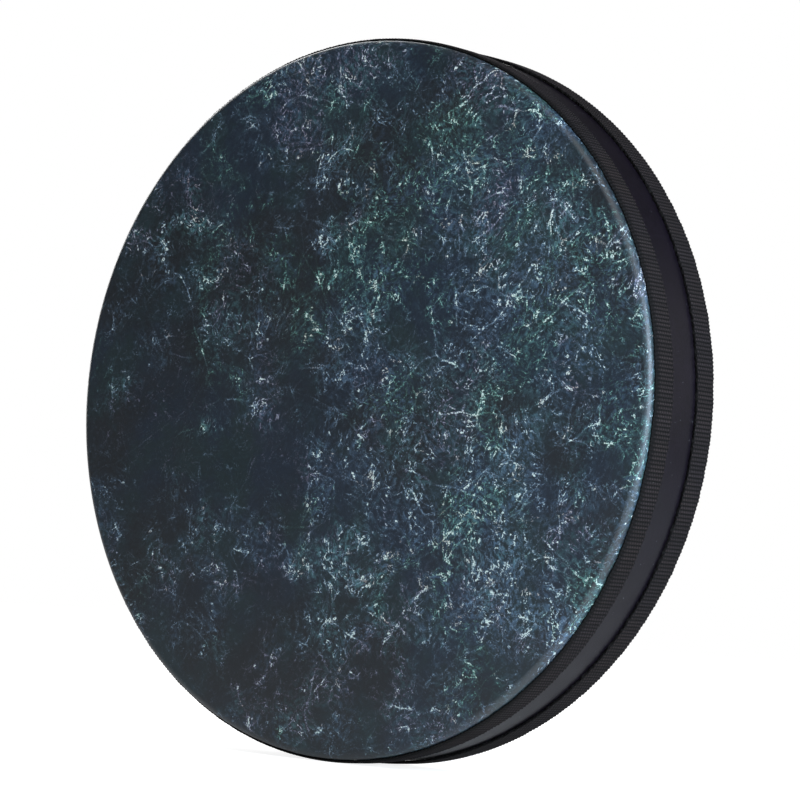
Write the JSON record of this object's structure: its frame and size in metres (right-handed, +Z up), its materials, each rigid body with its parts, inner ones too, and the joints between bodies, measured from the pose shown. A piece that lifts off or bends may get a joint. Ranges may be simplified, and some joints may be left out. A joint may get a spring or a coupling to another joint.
{
  "type": "ocean drum",
  "caption": "Thin two-headed frame drum with a printed film head, ribbed edge tapes, a smooth wrapped shell and loose steel beads inside that sound like surf when it is tipped.",
  "frame": {"origin": "the lowest point of the rim, halfway between the heads", "axes": "+Y along the drum's axis, from the printed front head to the rear head; +Z up, the drum standing on its rim"},
  "size_m": [0.4102, 0.0644, 0.4102],
  "materials": {
    "shell_fibre": "sealed fibre board",
    "finish_wrap": "satin",
    "printed_film": "semi-gloss, stone-like print",
    "clear_film": "clear, semi-gloss",
    "webbing": "cross-ribbed weave",
    "steel_beads": "polished"
  },
  "bodies": {
    "drum": {"shell": "shell_fibre", "shell_wrap": "finish_wrap", "front_head": "printed_film", "rear_head": "clear_film", "front_tape": "webbing", "rear_tape": "webbing"},
    "bead_heap": {"beads_11": "steel_beads"},
    "bead_row_01": {"beads_01": "steel_beads"},
    "bead_row_02": {"beads_02": "steel_beads"},
    "bead_row_03": {"beads_03": "steel_beads"},
    "bead_row_04": {"beads_04": "steel_beads"},
    "bead_row_05": {"beads_05": "steel_beads"},
    "bead_row_06": {"beads_06": "steel_beads"},
    "bead_row_07": {"beads_07": "steel_beads"},
    "bead_row_08": {"beads_08": "steel_beads"},
    "bead_row_09": {"beads_09": "steel_beads"},
    "bead_row_10": {"beads_10": "steel_beads"},
    "bead_row_12": {"beads_12": "steel_beads"},
    "bead_row_13": {"beads_13": "steel_beads"},
    "bead_row_14": {"beads_14": "steel_beads"},
    "bead_row_15": {"beads_15": "steel_beads"},
    "bead_row_16": {"beads_16": "steel_beads"},
    "bead_row_17": {"beads_17": "steel_beads"},
    "bead_row_18": {"beads_18": "steel_beads"},
    "bead_row_19": {"beads_19": "steel_beads"},
    "bead_row_20": {"beads_20": "steel_beads"},
    "bead_row_21": {"beads_21": "steel_beads"}
  },
  "joints": [
    {"name": "bead_heap_runs_round", "type": "hinge", "parent": "drum", "child": "bead_heap", "pos_m": [0, 0, 0.2051], "axis": [0, 1, 0], "continuous": true},
    {"name": "bead_row_01_rolls_across", "type": "slide", "parent": "bead_heap", "child": "bead_row_01", "axis": [0, 0, 1], "range_m": [0, 0.3754]},
    {"name": "bead_row_02_rolls_across", "type": "slide", "parent": "bead_heap", "child": "bead_row_02", "axis": [0, 0, 1], "range_m": [0, 0.3777]},
    {"name": "bead_row_03_rolls_across", "type": "slide", "parent": "bead_heap", "child": "bead_row_03", "axis": [0, 0, 1], "range_m": [0, 0.3797]},
    {"name": "bead_row_04_rolls_across", "type": "slide", "parent": "bead_heap", "child": "bead_row_04", "axis": [0, 0, 1], "range_m": [0, 0.3815]},
    {"name": "bead_row_05_rolls_across", "type": "slide", "parent": "bead_heap", "child": "bead_row_05", "axis": [0, 0, 1], "range_m": [0, 0.383]},
    {"name": "bead_row_06_rolls_across", "type": "slide", "parent": "bead_heap", "child": "bead_row_06", "axis": [0, 0, 1], "range_m": [0, 0.38]},
    {"name": "bead_row_07_rolls_across", "type": "slide", "parent": "bead_heap", "child": "bead_row_07", "axis": [0, 0, 1], "range_m": [0, 0.3813]},
    {"name": "bead_row_08_rolls_across", "type": "slide", "parent": "bead_heap", "child": "bead_row_08", "axis": [0, 0, 1], "range_m": [0, 0.3819]},
    {"name": "bead_row_09_rolls_across", "type": "slide", "parent": "bead_heap", "child": "bead_row_09", "axis": [0, 0, 1], "range_m": [0, 0.3827]},
    {"name": "bead_row_10_rolls_across", "type": "slide", "parent": "bead_heap", "child": "bead_row_10", "axis": [0, 0, 1], "range_m": [0, 0.3828]},
    {"name": "bead_row_12_rolls_across", "type": "slide", "parent": "bead_heap", "child": "bead_row_12", "axis": [0, 0, 1], "range_m": [0, 0.3828]},
    {"name": "bead_row_13_rolls_across", "type": "slide", "parent": "bead_heap", "child": "bead_row_13", "axis": [0, 0, 1], "range_m": [0, 0.3827]},
    {"name": "bead_row_14_rolls_across", "type": "slide", "parent": "bead_heap", "child": "bead_row_14", "axis": [0, 0, 1], "range_m": [0, 0.3819]},
    {"name": "bead_row_15_rolls_across", "type": "slide", "parent": "bead_heap", "child": "bead_row_15", "axis": [0, 0, 1], "range_m": [0, 0.3813]},
    {"name": "bead_row_16_rolls_across", "type": "slide", "parent": "bead_heap", "child": "bead_row_16", "axis": [0, 0, 1], "range_m": [0, 0.38]},
    {"name": "bead_row_17_rolls_across", "type": "slide", "parent": "bead_heap", "child": "bead_row_17", "axis": [0, 0, 1], "range_m": [0, 0.383]},
    {"name": "bead_row_18_rolls_across", "type": "slide", "parent": "bead_heap", "child": "bead_row_18", "axis": [0, 0, 1], "range_m": [0, 0.3815]},
    {"name": "bead_row_19_rolls_across", "type": "slide", "parent": "bead_heap", "child": "bead_row_19", "axis": [0, 0, 1], "range_m": [0, 0.3797]},
    {"name": "bead_row_20_rolls_across", "type": "slide", "parent": "bead_heap", "child": "bead_row_20", "axis": [0, 0, 1], "range_m": [0, 0.3777]},
    {"name": "bead_row_21_rolls_across", "type": "slide", "parent": "bead_heap", "child": "bead_row_21", "axis": [0, 0, 1], "range_m": [0, 0.3754]}
  ]
}
